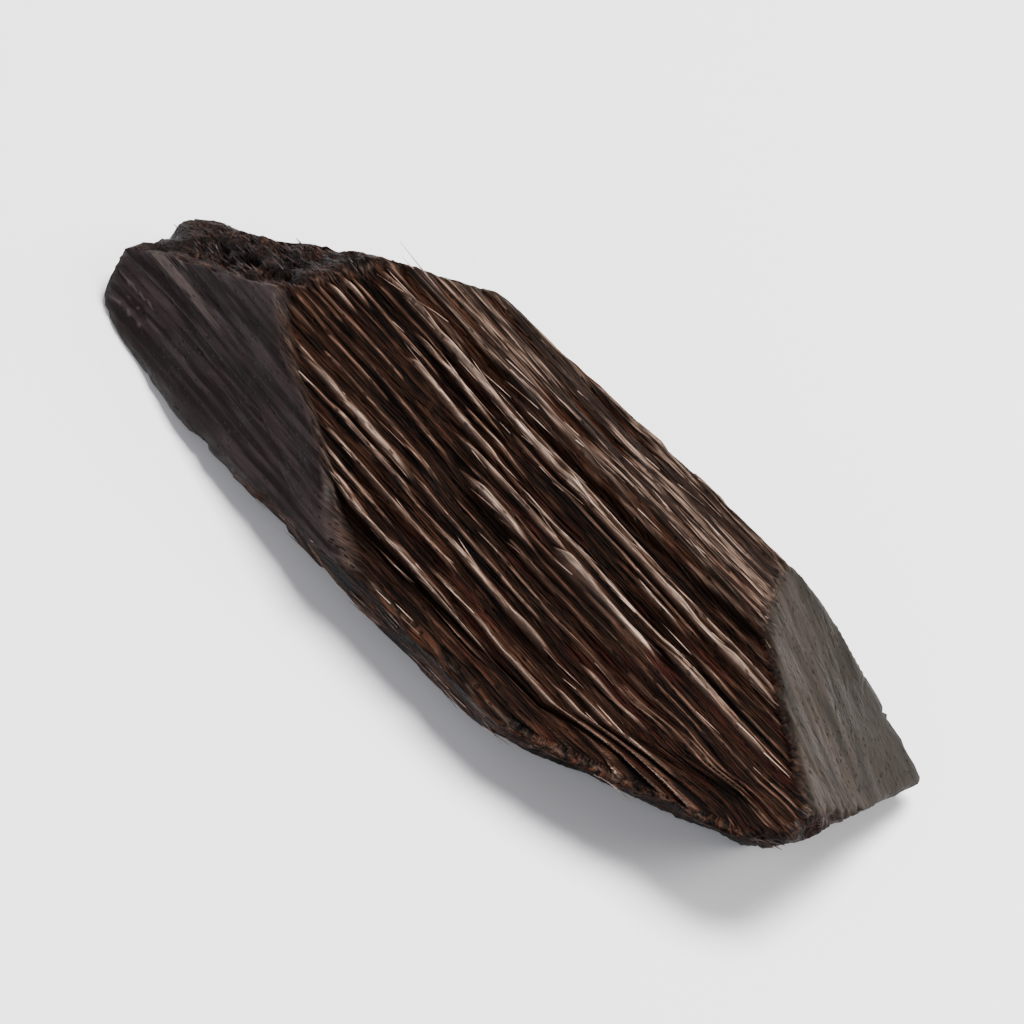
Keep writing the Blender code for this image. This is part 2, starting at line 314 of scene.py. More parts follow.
def bundles(p, pitch, run, seed):
    """Bundles of fibres on any face: how far each is broken down, 0 to 1, and how far off its side is."""
    across, up = fibre_place(p)
    x = p[:, 0]
    i, j = np.floor(across / pitch), np.floor(up / pitch)
    nought = np.zeros(len(p))
    nearest, second, level = np.full(len(p), 9.0), np.full(len(p), 9.0), nought
    for a in (-1, 0, 1):
        for b in (-1, 0, 1):
            row, column = i + a, j + b
            middle = row + 0.5 + 0.42 * hashed(row, column, nought, seed)
            height = column + 0.5 + 0.42 * hashed(row, column, nought, seed + 1)
            away = np.hypot(across / pitch - middle, up / pitch - height)
            broken = 0.5 + 0.42 * noise(x / run, row * 5.7, column * 3.9, seed + 2)
            broken = broken + 0.16 * noise(x / (0.2 * run), row * 5.7, column * 3.9, seed + 3)
            second = np.where(away < nearest, nearest, np.minimum(second, away))
            level = np.where(away < nearest, broken, level)
            nearest = np.minimum(nearest, away)
    return level, second - nearest


def side_fibres(p):
    """The fine relief of the split sides and the back, and its pale dry ridges."""
    coarse, gap = bundles(p, pitch=0.42, run=7.0, seed=101)
    fine, fine_gap = bundles(p, pitch=0.17, run=3.6, seed=111)
    cracks = step(0.22, 0.0, gap) + 0.5 * step(0.3, 0.0, fine_gap)
    depth = 0.16 * coarse + 0.08 * fine + 0.07 * cracks
    ridges = step(0.55, 0.30, coarse) * step(0.55, 0.35, fine) * step(0.05, 0.3, fine_gap)
    return depth, ridges


def lamellae(p, pitch, half, seed):
    """Thin upright sheets of wood standing out of the face: nearly even, straight, fading in and out."""
    across, up = fibre_place(p)
    x = p[:, 0]
    across = across + 0.05 * pitch * noise(x / 2.2, across / pitch, up, seed)
    nearest = np.floor(across / pitch + 0.5)
    total = np.zeros(len(p))
    nought = np.zeros(len(p))
    for neighbour in (-1, 0, 1):
        sheet_index = nearest + neighbour
        centre = (sheet_index + 0.34 * hashed(sheet_index, nought, nought, seed + 1)) * pitch
        strength = step(-0.16, 0.14, noise(x / 3.1, sheet_index * 7.3, nought, seed + 2))
        strength = strength * (0.55 + 0.45 * hashed(sheet_index, nought, nought, seed + 3))
        off = (across - centre) / half
        total = np.maximum(total, strength / (1.0 + off ** 2))
    return total


def named_ribs(p):
    """The sharp top line of each named crest, from 0 to 1."""
    total = np.zeros(len(p))
    for high, off, half in crest_runs(p):
        off = off * max(1.0, half / PALE_HALF)
        total = np.maximum(total, 1.3 * high / (1.0 + (off / 0.5) ** 2))
    return total


def sheets(p, pitch, run, seed):
    """Split levels: each sheet of fibres broken off at its own height, from 0 to 1, with sharp sides."""
    across, up = fibre_place(p)
    x = p[:, 0]
    nearest = np.floor(across / pitch + 0.5)
    nought = np.zeros(len(p))
    distances, levels = [], []
    for neighbour in (-1, 0, 1):
        sheet_index = nearest + neighbour
        centre = (sheet_index + 0.36 * hashed(sheet_index, nought, nought, seed)) * pitch
        distances.append(np.abs(across - centre))
        low = noise(x / run, sheet_index * 5.7, np.floor(up / (3 * pitch)), seed + 1)
        levels.append(0.5 + 0.5 * low + 0.18 * noise(x / (0.22 * run), sheet_index * 3.1, nought, seed + 2))
    order = np.argsort(np.array(distances), axis=0)
    gap = np.take_along_axis(np.array(distances), order, axis=0)
    level = np.take_along_axis(np.array(levels), order, axis=0)
    inner = step(0.0, 0.07, gap[1] - gap[0])
    return 0.5 * (level[0] + level[1]) + 0.5 * (level[0] - level[1]) * inner


def fine_ribs(p):
    """The thin ribs of the grooved face, from 0 to 1."""
    ribs = np.maximum(named_ribs(p), 0.9 * lamellae(p, LAMELLA_PITCH, half=0.050, seed=LAMELLA_SEED))
    return np.maximum(ribs, 0.62 * lamellae(p, pitch=0.19, half=0.034, seed=81))


def fine_depth(p, relief):
    """The fine fibres of each kind of face, too small for the solid."""
    fine = 0.5 + 0.5 * fibre_noise(p, pitch=0.105, run=2.6, seed=51)
    hair = 0.5 + 0.5 * fibre_noise(p, pitch=0.055, run=1.6, seed=52)
    if relief == "grooved":
        split = 0.13 * sheets(p, pitch=0.33, run=5.5, seed=91)
        split = split + 0.06 * sheets(p, pitch=0.13, run=3.4, seed=96)
        return 0.13 * (1 - fine_ribs(p)) + split + 0.030 * fine + 0.012 * hair
    if relief == "strip":
        return 0.030 * fine + 0.014 * hair + 0.5 * side_fibres(p)[0]
    if relief in ("back", "side"):
        return 0.035 * fine + 0.016 * hair + side_fibres(p)[0]
    if relief == "broken":
        torn = 0.5 + 0.5 * noise(p[:, 0] / 0.8, p[:, 1] / 0.10, p[:, 2] / 0.10, 56)
        split = 0.24 * bundles(p, pitch=0.30, run=1.8, seed=97)[0]
        split = split + 0.10 * bundles(p, pitch=0.12, run=1.0, seed=98)[0]
        return 0.05 * torn + split
    marks = noise(p[:, 0] / 0.28, p[:, 1] / 2.4, p[:, 2] / 2.4, 58)
    pits = step(0.62, 0.8, fibre_noise(p, pitch=0.16, run=1.8, seed=59))
    return 0.009 * fine + 0.003 * hair + 0.005 * (1 + marks) + 0.035 * pits


def chipped(p, corner):
    """Small bites out of the corners."""
    bite = step(0.15, 0.75, noise(p[:, 0] / 0.9, p[:, 1] / 0.4, p[:, 2] / 0.4, 63))
    nick = step(0.25, 0.8, noise(p[:, 0] / 0.35, p[:, 1] / 0.18, p[:, 2] / 0.18, 64))
    return step(0.35, 1.0, corner) * (0.16 * bite + 0.06 * nick)


def face_weights(p):
    """The share of each kind of face at each point, and how close the point is to a corner."""
    heights = face_heights(p)
    heights.append(UNDERSIDE_Z - p[:, 2])
    stack = np.sort(np.array(heights), axis=0)
    top, second = stack[-1], stack[-2]
    corner = 1 - step(0.0, CORNER_REACH, top - second)
    weights = [step(-FACE_BLEND, 0.0, h - top) for h in heights]
    total = np.sum(weights, axis=0)
    kinds = {"under": weights[-1] / total}
    for weight, face in zip(weights, FACES):
        kinds[face[4]] = kinds.get(face[4], 0.0) + weight / total
    left = weights[[face[0] for face in FACES].index("left_cut")] / total
    return kinds, corner, left


def worked(p, ways):
    """The points with all fibres worked in, and what the material needs to know at each."""
    kinds, corner, left = face_weights(p)
    depth = np.zeros(len(p))
    for kind, weight in kinds.items():
        if kind == "under":
            continue
        part = grooved_depth(p) if kind == "grooved" else plain_depth(p, kind)
        depth = depth + weight * (part + (1 - 0.5 * corner * (kind != "grooved")) * fine_depth(p, kind))
    hollow = 0.10 * step(-0.1, 0.8, fibre_noise(p, pitch=0.5, run=6.0, seed=61))
    hollow = hollow + 0.03 * (1 + fibre_noise(p, pitch=0.12, run=3.0, seed=62))
    depth = depth + kinds["under"] * hollow

    # The left cut is split along the grain towards the head end.
    to_head = step(-8.0, -12.5, p[:, 0])
    streak_place = across_cut(p)
    nought = np.zeros(len(p))
    streaks = noise(p[:, 0] / 5.0, streak_place / 0.15, nought, 77)
    depth = depth + left * (0.03 + 0.055 * to_head * step(0.1, 0.5, streaks))

    # Hardly any chips along the border of the grooved face, which the photograph shows whole.
    chips = (1 - kinds["under"]) * (1 - 3.6 * kinds["grooved"] * (1 - kinds["grooved"])) * chipped(p, corner)
    surface = p - ways * (depth + chips)[:, None]

    across, up = fibre_place(p)
    dry_sides = (0.14 + 0.39 * step(-10.5, -7.5, p[:, 0])) * (kinds["side"] + kinds["back"])
    off_floor = step(0.25, 0.6, p[:, 2])
    standing = kinds["grooved"] * step(0.25, 0.6, fine_ribs(p)) + 0.5 * kinds["side"] + 0.3 * kinds["strip"]
    facts = {
        "depth": depth,
        "rib": kinds["grooved"] * fine_ribs(p) + dry_sides * side_fibres(p)[1],
        "cut": kinds["cut"],
        "left": left,
        "broken": kinds["broken"],
        "raised": off_floor * standing,
        "torn": kinds["broken"] * step(0.9, 1.7, p[:, 2]),
        "split": left * 0.62 * to_head * step(-0.12, -0.55, streaks),
        "cut_place": np.stack([p[:, 0], streak_place, nought], axis=1),
        "strip": kinds["strip"],
        "grooved": kinds["grooved"],
        "corner": corner,
        "grain_place": np.stack([p[:, 0], across, up], axis=1),
    }
    return surface, facts


def sheet(x):
    """The middle sheet inside the piece at x: its height and its two side limits."""
    z = float(np.interp(x, SHEET_X, SHEET_Z))
    low, high = -math.inf, math.inf
    for name, point, turn, lean, relief in FACES:
        n = face_normal(turn, lean)
        if abs(n[1]) < 0.05:
            # A face that looks up, down or along the grain is no side.
            continue
        y = point[1] - (n[0] * (x - point[0]) + n[2] * (z - point[2])) / n[1]
        if n[1] > 0:
            high = min(high, y)
        else:
            low = max(low, y)
    low, high = low + SHEET_MARGIN, high - SHEET_MARGIN
    if low > high:
        low = high = (low + high) / 2
    return z, low, high


def ray_rows():
    """The rings: x of the sheet and the fan angle towards the head (minus) or the tip (plus)."""
    rows = [(SHEET_HEAD, -FAN_END * (1 - i / FAN_RINGS)) for i in range(FAN_RINGS)]
    count = round((SHEET_TIP - SHEET_HEAD) / RING_STEP)
    rows += [(SHEET_HEAD + (SHEET_TIP - SHEET_HEAD) * i / count, 0.0) for i in range(count + 1)]
    rows += [(SHEET_TIP, FAN_END * (i + 1) / FAN_RINGS) for i in range(FAN_RINGS)]
    return rows


def ray_lines():
    """The lines along the grain: place across, and plus 1 for the top or minus 1 for the underside."""
    top = round((ACROSS_TO - ACROSS_FROM) / TOP_STEP)
    under = round((ACROSS_TO - ACROSS_FROM) / UNDER_STEP)
    lines = [(ACROSS_FROM + (ACROSS_TO - ACROSS_FROM) * i / top, 1.0) for i in range(top + 1)]
    lines += [(ACROSS_TO - (ACROSS_TO - ACROSS_FROM) * i / under, -1.0) for i in range(1, under)]
    return lines


def narrowed(body, starts, ways, near, far, turns):
    """Halve the stretch of each ray that holds the surface, a number of times."""
    for turn in range(turns):
        middle = (near + far) / 2
        inside = body(starts + ways * middle[:, None]) < 0
        near = np.where(inside, middle, near)
        far = np.where(inside, far, middle)
    return near, far


def cast(rows, lines):
    """The surface points, found along rays that leave the middle sheet."""
    starts, ways = [], []
    for x, fan in rows:
        z, low, high = sheet(x)
        for place, side in lines:
            y = min(max(place, low), high)
            tilt = 0.0
            if place > high:
                tilt = 90.0 * (place - high) / (ACROSS_TO - high)
            if place < low:
                tilt = -90.0 * (low - place) / (low - ACROSS_FROM)
            t, f = math.radians(tilt), math.radians(fan)
            starts.append((x, y, z))
            ways.append((math.sin(f), math.cos(f) * math.sin(t), side * math.cos(f) * math.cos(t)))
    starts, ways = np.array(starts), np.array(ways)
    nought, reach = np.zeros(len(starts)), np.full(len(starts), RAY_REACH)
    guess, _ = narrowed(flat_body, starts, ways, nought, reach, FIRST_HALVINGS)
    inner, outer = np.maximum(guess - GUESS_INSIDE, 0), guess + GUESS_OUTSIDE
    near, _ = narrowed(smooth_body, starts, ways, inner, outer, LAST_HALVINGS)
    return starts + ways * near[:, None], ways


def close_end(faces, ring, places, top_count):
    """Close an end ring by lacing its top line to its underside line, nearest places first."""
    i, j = 0, len(ring) - 1
    while i < top_count - 1 or j > top_count:
        next_top = places[i + 1] if i < top_count - 1 else math.inf
        next_under = places[j - 1] if j > top_count else math.inf
        if next_top <= next_under:
            faces.append((ring[i], ring[i + 1], ring[j]))
            i += 1
        else:
            faces.append((ring[i], ring[j - 1], ring[j]))
            j -= 1


def wood_skin():
    """The whole outside of the chip as one closed mesh with the material's attributes."""
    rows, lines = ray_rows(), ray_lines()
    points, ways = cast(rows, lines)
    surface, facts = worked(points, ways)
    surface[:, 2] = np.maximum(surface[:, 2], UNDERSIDE_Z)
    size = len(lines)
    faces = []
    for r in range(len(rows) - 1):
        for i in range(size):
            j = (i + 1) % size
            a, b = r * size, (r + 1) * size
            faces.append((a + i, b + i, b + j, a + j))
    places = [place for place, side in lines]
    top_count = sum(1 for place, side in lines if side > 0)
    last = (len(rows) - 1) * size
    for first in (0, last):
        close_end(faces, list(range(first, first + size)), places, top_count)
    return surface, faces, facts


def inside_box(points_m):
    """Keep every point just inside the solid's box; the underside may lie on the floor."""
    low, high = np.array(cad_box[0]), np.array(cad_box[1])
    low[:2] += BOX_GAP
    high -= BOX_GAP
    return np.clip(points_m, low, high)


def outward_mesh(name, points, faces):
    """A smooth-shaded mesh with all its faces looking outwards."""
    mesh = bpy.data.meshes.new(name)
    mesh.from_pydata(points, [], faces)
    net = bmesh.new()
    net.from_mesh(mesh)
    bmesh.ops.recalc_face_normals(net, faces=net.faces)
    net.to_mesh(mesh)
    net.free()
    mesh.shade_smooth()
    return mesh


def add_attribute(mesh, name, values):
    """Give each vertex a value or a vector that the material and the fibres read by name."""
    kind = "FLOAT_VECTOR" if values.ndim == 2 else "FLOAT"
    attribute = mesh.attributes.new(name, kind, "POINT")
    field = "vector" if values.ndim == 2 else "value"
    attribute.data.foreach_set(field, values.astype(np.float32).ravel())


def make_wood():
    """The wood as one object, with what its material reads kept on the mesh."""
    surface, faces, facts = wood_skin()
    moved = surface - np.array([CENTRE_X, CENTRE_Y, 0.0])
    mesh = outward_mesh("agarwood_wood", inside_box(moved * MM).tolist(), faces)
    for name, values in facts.items():
        add_attribute(mesh, name, values)
    wood = bpy.data.objects.new("agarwood_wood", mesh)
    bpy.context.scene.collection.objects.link(wood)
    return wood


# Colours are linear red, green and blue.
# Black of the resin streaks and the pores, and also painted shade deep in the grooves of the grooved face.
RESIN_BLACK_AND_SHADE = (0.0022, 0.0013, 0.0010, 1.0)
# Brown of the resin streaks on the grooved face, and also painted shade in the deep grooves of the paler
# strip.
RESIN_BROWN_AND_SHADE = (0.027, 0.0100, 0.0050, 1.0)
RESIN_RED = (0.040, 0.0095, 0.0060, 1.0)
RUST_BROWN = (0.057, 0.0240, 0.0135, 1.0)
DRY_BROWN = (0.078, 0.0430, 0.0295, 1.0)
# Pale dry fibre on the crests, the rubbed corners and the torn fibres; on the crests it is also a painted
# highlight along the ridges.
PALE_FIBRE_AND_HIGHLIGHT = (0.37, 0.262, 0.204, 1.0)
STRIP_BROWN = (0.150, 0.098, 0.073, 1.0)
STRIP_DARK = (0.010, 0.0052, 0.0037, 1.0)
CUT_PLUM = (0.0076, 0.0048, 0.0048, 1.0)
CUT_PLUM_PALE = (0.033, 0.0235, 0.0235, 1.0)
CUT_PLUM_LINE = (0.085, 0.066, 0.062, 1.0)
CUT_OLIVE = (0.0195, 0.0150, 0.0122, 1.0)
CUT_OLIVE_PALE = (0.043, 0.0335, 0.0275, 1.0)
# Dark olive of the tip cut's mottling, and also painted shade towards the cut's far side.
CUT_OLIVE_DARK = (0.0100, 0.0088, 0.0070, 1.0)
BROKEN_DARK = (0.0075, 0.0045, 0.0036, 1.0)
BROKEN_RED = (0.029, 0.0150, 0.0110, 1.0)
FLOOR_PALE = (0.962, 0.958, 0.985, 1.0)
WORLD_PALE = (0.93, 0.94, 1.0, 1.0)

WOOD_SPECULAR = 0.05
COAT_ON_SPLIT = 0.08
COAT_ON_CUT = 0.03
COAT_ROUGHNESS = 0.28
BUMP_STRENGTH = 0.9
BUMP_DISTANCE = 0.000065
FLOOR_ROUGHNESS = 0.55
WORLD_STRENGTH = 0.30


def node(tree, kind, **settings):
    """A new node of a kind with its settings."""
    made = tree.nodes.new(kind)
    for name, value in settings.items():
        setattr(made, name, value)
    return made


def feed(tree, socket, value):
    """Link a socket, or set a plain value."""
    if isinstance(value, bpy.types.NodeSocket):
        tree.links.new(value, socket)
    else:
        socket.default_value = value


def calc(tree, operation, a, b=0.0):
    """One step of arithmetic on values or sockets."""
    made = node(tree, "ShaderNodeMath", operation=operation)
    feed(tree, made.inputs[0], a)
    feed(tree, made.inputs[1], b)
    return made.outputs[0]


def times(tree, total, *others):
    """All the values multiplied together."""
    for other in others:
        total = calc(tree, "MULTIPLY", total, other)
    return total


def parts(tree, vector):
    """The x, y and z of a vector."""
    made = node(tree, "ShaderNodeSeparateXYZ")
    feed(tree, made.inputs[0], vector)
    return made.outputs


def joined(tree, x=0.0, y=0.0, z=0.0):
    """A vector from its x, y and z."""
    made = node(tree, "ShaderNodeCombineXYZ")
    for socket, value in zip(made.inputs, (x, y, z)):
        feed(tree, socket, value)
    return made.outputs[0]


def blend(tree, factor, a, b, kind="MIX"):
    """Two colours mixed: the first where the factor is 0, the second where it is 1."""
    made = node(tree, "ShaderNodeMix", data_type="RGBA", blend_type=kind, clamp_factor=True)
    feed(tree, made.inputs["Factor"], factor)
    feed(tree, made.inputs[6], a)
    feed(tree, made.inputs[7], b)
    return made.outputs[2]


def spread(tree, value, low, high, to_low=0.0, to_high=1.0):
    """Map a stretch of values smoothly to another, with both ends held."""
    made = node(tree, "ShaderNodeMapRange", interpolation_type="SMOOTHSTEP")
    for socket, item in zip(made.inputs[:5], (value, low, high, to_low, to_high)):
        feed(tree, socket, item)
    return made.outputs[0]


def fact(tree, name, vector=False):
    """A value or a vector that the wood's mesh carries at each point."""
    made = node(tree, "ShaderNodeAttribute", attribute_type="GEOMETRY", attribute_name=name)
    return made.outputs["Vector"] if vector else made.outputs["Fac"]


def new_group(name, inputs, outputs):
    """A shader node group with named sockets: each is a name, a kind and, for inputs, a default."""
    group = bpy.data.node_groups.new(name, "ShaderNodeTree")
    for title, kind, default in inputs:
        socket = group.interface.new_socket(title, in_out="INPUT", socket_type=kind)
        if default is not None:
            socket.default_value = default
    for title, kind in outputs:
        group.interface.new_socket(title, in_out="OUTPUT", socket_type=kind)
    return group, group.nodes.new("NodeGroupInput").outputs, group.nodes.new("NodeGroupOutput").inputs


def placed(tree, group, **values):
    """A group in a material or another group, with its inputs set; returns its outputs."""
    made = node(tree, "ShaderNodeGroup", node_tree=group)
    for name, value in values.items():
        feed(tree, made.inputs[name], value)
    return made.outputs


def stretched(tree, place, run, pitch):
    """The grain's own coordinates divided by a length along it and a width across it."""
    made = node(tree, "ShaderNodeVectorMath", operation="DIVIDE")
    feed(tree, made.inputs[0], place)
    feed(tree, made.inputs[1], joined(tree, run, pitch, pitch))
    return made.outputs[0]


def cloud(tree, place, run, pitch, detail, roughness=0.5):
    """Noise drawn out along the grain."""
    made = node(tree, "ShaderNodeTexNoise", noise_dimensions="3D")
    feed(tree, made.inputs["Vector"], stretched(tree, place, run, pitch))
    made.inputs["Scale"].default_value = 1.0
    made.inputs["Detail"].default_value = detail
    made.inputs["Roughness"].default_value = roughness
    return made.outputs["Fac"]


def grain_group():
    """Streaks that are long with the fibres and narrow across them."""
    group, given, out = new_group(
        "Wood grain",
        [
            ("Place", "NodeSocketVector", None),
            ("Run", "NodeSocketFloat", 4.0),
            ("Pitch", "NodeSocketFloat", 0.2),
            ("Low", "NodeSocketFloat", 0.4),
            ("High", "NodeSocketFloat", 0.6),
        ],
        [("Streaks", "NodeSocketFloat")],
    )
    noise_out = cloud(group, given["Place"], given["Run"], given["Pitch"], detail=2.0, roughness=0.55)
    feed(group, out["Streaks"], spread(group, noise_out, given["Low"], given["High"]))
    return group


def pores_group():
    """Small vessel openings, drawn out along the grain."""
    group, given, out = new_group(
        "Wood pores",
        [
            ("Place", "NodeSocketVector", None),
            ("Run", "NodeSocketFloat", 0.6),
            ("Pitch", "NodeSocketFloat", 0.12),
            ("Size", "NodeSocketFloat", 0.25),
        ],
        [("Pores", "NodeSocketFloat")],
    )
    cells = node(group, "ShaderNodeTexVoronoi", feature="F1", voronoi_dimensions="3D")
    feed(group, cells.inputs["Vector"], stretched(group, given["Place"], given["Run"], given["Pitch"]))
    cells.inputs["Scale"].default_value = 1.0
    inner = times(group, given["Size"], 0.5)
    feed(group, out["Pores"], spread(group, cells.outputs["Distance"], inner, given["Size"], 1.0, 0.0))
    return group


def resin_group():
    """Patches where dark resin has soaked the wood: a mask, and the roughness that goes with it."""
    group, given, out = new_group(
        "Resin",
        [
            ("Place", "NodeSocketVector", None),
            ("Amount", "NodeSocketFloat", 0.5),
            ("Dry Roughness", "NodeSocketFloat", 0.62),
            ("Oily Roughness", "NodeSocketFloat", 0.42),
        ],
        [("Resin", "NodeSocketFloat"), ("Roughness", "NodeSocketFloat")],
    )
    level = calc(group, "SUBTRACT", 1.0, given["Amount"])
    low = calc(group, "SUBTRACT", level, 0.14)
    high = calc(group, "ADD", level, 0.14)
    mask = spread(group, cloud(group, given["Place"], run=3.4, pitch=0.75, detail=3.0), low, high)
    rough = spread(group, mask, 0.0, 1.0, given["Dry Roughness"], given["Oily Roughness"])
    feed(group, out["Resin"], mask)
    feed(group, out["Roughness"], rough)
    return group


def wear_group():
    """Rubbed corners: paler and broken up by the grain."""
    group, given, out = new_group(
        "Rubbed edges",
        [
            ("Place", "NodeSocketVector", None),
            ("Corner", "NodeSocketFloat", 0.0),
            ("Strength", "NodeSocketFloat", 0.5),
        ],
        [("Wear", "NodeSocketFloat")],
    )
    broken_up = spread(group, cloud(group, given["Place"], run=1.1, pitch=0.22, detail=3.0), 0.42, 0.62)
    near = spread(group, given["Corner"], 0.86, 1.0)
    feed(group, out["Wear"], times(group, near, broken_up, given["Strength"]))
    return group


GRAIN = grain_group()
PORES = pores_group()
RESIN = resin_group()
WEAR = wear_group()


def grain_lines(tree, place, run, pitch, low, high):
    """Streaks from 0 to 1, each about a run long and a pitch wide."""
    return placed(tree, GRAIN, Place=place, Run=run, Pitch=pitch, Low=low, High=high)["Streaks"]


def grooved_tone(tree, place, lines, broad, shallow):
    """The grooved face: black in the grooves, darkened further with painted shade the deeper they go, rust
    and red between them, and pale on the crests, which is dry fibre and also a painted highlight.
    """
    spot = parts(tree, place)
    corner = fact(tree, "corner")
    on_face = times(
        tree,
        spread(tree, fact(tree, "grooved"), 0.0, 1.0, 0.15, 1.0),
        spread(tree, corner, 0.2, 0.8, 1.0, 0.25),
    )
    rust = times(
        tree,
        grain_lines(tree, place, run=2.2, pitch=0.26, low=0.45, high=0.64),
        broad,
        spread(tree, spot[0], -4.0, 9.0, 0.80, 1.0),
        on_face,
    )
    red = times(
        tree,
        grain_lines(tree, place, run=3.4, pitch=0.42, low=0.52, high=0.66),
        spread(tree, spot[0], -6.0, 8.0, 0.15, 0.85),
        on_face,
    )
    body = blend(tree, lines, RESIN_BLACK_AND_SHADE, RESIN_BROWN_AND_SHADE)
    body = blend(tree, rust, body, RUST_BROWN)
    body = blend(tree, red, body, RESIN_RED)
    # Painted shade: the deeper a point lies, the nearer its colour goes to black.
    tone = blend(tree, calc(tree, "ADD", times(tree, shallow, 0.62), 0.38), RESIN_BLACK_AND_SHADE, body)
    rib = fact(tree, "rib")
    brown = times(tree, spread(tree, rib, 0.16, 0.50), spread(tree, corner, 0.2, 0.8, 1.0, 0.3))
    tone = blend(tree, brown, tone, DRY_BROWN)
    # Pale on the crest tops: dry fibre, and also a painted highlight along the ridges.
    dry_crest_and_highlight = times(
        tree,
        spread(tree, rib, 0.42, 0.80),
        spread(tree, lines, 0.0, 1.0, 0.65, 1.0),
        spread(tree, corner, 0.15, 0.75, 1.0, 0.25),
        spread(tree, spot[1], -4.1, -3.0, 0.3, 1.0),
        spread(tree, broad, 0.0, 1.0, 0.6, 1.0),
    )
    return blend(tree, dry_crest_and_highlight, tone, PALE_FIBRE_AND_HIGHLIGHT)


def strip_tone(tree, place, lines):
    """The paler strip: dry brown in dark bands, and darker brown where it is deep, which is painted shade in
    its grooves.
    """
    bands = grain_lines(tree, place, run=6.5, pitch=0.24, low=0.42, high=0.57)
    bands = spread(tree, bands, 0.0, 1.0, 0.08, 1.0)
    tone = blend(tree, times(tree, lines, bands), STRIP_DARK, STRIP_BROWN)
    # Painted shade: darker brown where the strip's grooves are deep.
    return blend(tree, spread(tree, fact(tree, "depth"), 0.16, 0.34), tone, RESIN_BROWN_AND_SHADE)


def cut_tone(tree):
    """The two slanting cuts, plum at the left and olive at the tip, both changing towards the far side: the
    plum cut grows paler there, and the olive cut darker with painted shade.
    """
    place = fact(tree, "cut_place", vector=True)
    across = parts(tree, place)[1]
    marks = grain_lines(tree, place, run=5.5, pitch=0.20, low=0.40, high=0.62)
    cloudy = grain_lines(tree, place, run=3.5, pitch=0.75, low=0.38, high=0.62)
    plum_mark = times(tree, marks, spread(tree, cloudy, 0.0, 1.0, 0.75, 0.40))
    plum = blend(tree, plum_mark, CUT_PLUM, CUT_PLUM_PALE)
    plum = blend(tree, spread(tree, fact(tree, "split"), 0.25, 0.8, 0.0, 0.7), plum, CUT_PLUM_LINE)
    plum = blend(tree, spread(tree, across, 0.9, 2.9, 0.0, 0.34), plum, CUT_PLUM_LINE)
    olive = blend(tree, times(tree, cloudy, 0.75), CUT_OLIVE, CUT_OLIVE_DARK)
    olive = blend(tree, times(tree, marks, 0.50), olive, CUT_OLIVE_PALE)
    # Painted shade: the tip cut darker towards its far side.
    olive = blend(tree, spread(tree, across, -0.6, 1.9, 0.0, 0.60), olive, CUT_OLIVE_DARK)
    return blend(tree, fact(tree, "left"), olive, plum)


def wood_material():
    """Dark resin-soaked wood: black grooves with painted shade, rust-brown body, pale dry crests that also
    carry a painted highlight, smooth plum and olive cuts.
    """
    material = bpy.data.materials.new("agarwood")
    material.use_nodes = True
    tree = material.node_tree
    shader = tree.nodes["Principled BSDF"]
    place = fact(tree, "grain_place", vector=True)
    broad = grain_lines(tree, place, run=5.0, pitch=0.62, low=0.36, high=0.64)
    lines = grain_lines(tree, place, run=3.0, pitch=0.11, low=0.40, high=0.62)
    hairs = grain_lines(tree, place, run=1.4, pitch=0.060, low=0.38, high=0.64)
    resin = placed(tree, RESIN, Place=place, Amount=0.52)
    pores = placed(tree, PORES, Place=place)["Pores"]
    wear = placed(tree, WEAR, Place=place, Corner=fact(tree, "corner"), Strength=0.07)["Wear"]
    # How shallow each point is, 1 near the surface and 0 deep in the grooves; it sets the painted shade of
    # the grooves and the coat.
    shallow = spread(tree, fact(tree, "depth"), 0.56, 0.26)
    cut = fact(tree, "cut")

    colour = grooved_tone(tree, place, lines, broad, shallow)
    colour = blend(tree, fact(tree, "strip"), colour, strip_tone(tree, place, lines))
    colour = blend(tree, cut, colour, cut_tone(tree))
    broken_tone = blend(tree, times(tree, hairs, broad), BROKEN_DARK, BROKEN_RED)
    colour = blend(tree, fact(tree, "broken"), colour, broken_tone)
    colour = blend(tree, wear, colour, PALE_FIBRE_AND_HIGHLIGHT)
    colour = blend(tree, times(tree, pores, 0.6), colour, RESIN_BLACK_AND_SHADE)
    split_shade = spread(tree, hairs, 0.0, 1.0, 0.58, 1.36)
    cut_shade = spread(tree, hairs, 0.0, 1.0, 0.90, 1.08)
    colour = blend(tree, 1.0, colour, blend(tree, cut, split_shade, cut_shade), "MULTIPLY")
    feed(tree, shader.inputs["Base Color"], colour)

    feed(tree, shader.inputs["Roughness"], calc(tree, "ADD", resin["Roughness"], times(tree, hairs, 0.10)))
    oily = times(tree, spread(tree, resin["Resin"], 0.0, 1.0, 0.4, 1.0), shallow)
    coat = times(tree, oily, spread(tree, cut, 0.0, 1.0, COAT_ON_SPLIT, COAT_ON_CUT))
    feed(tree, shader.inputs["Coat Weight"], coat)
    shader.inputs["Coat Roughness"].default_value = COAT_ROUGHNESS
    shader.inputs["Specular IOR Level"].default_value = WOOD_SPECULAR

    fine = times(tree, lines, spread(tree, cut, 0.0, 1.0, 1.1, 0.065))
    fine = calc(tree, "ADD", fine, times(tree, hairs, spread(tree, cut, 0.0, 1.0, 0.6, 0.045)))
    fine = calc(tree, "SUBTRACT", fine, pores)
    bump = node(tree, "ShaderNodeBump")
    bump.inputs["Strength"].default_value = BUMP_STRENGTH
    bump.inputs["Distance"].default_value = BUMP_DISTANCE
    feed(tree, bump.inputs["Height"], fine)
    feed(tree, shader.inputs["Normal"], bump.outputs["Normal"])
    return material


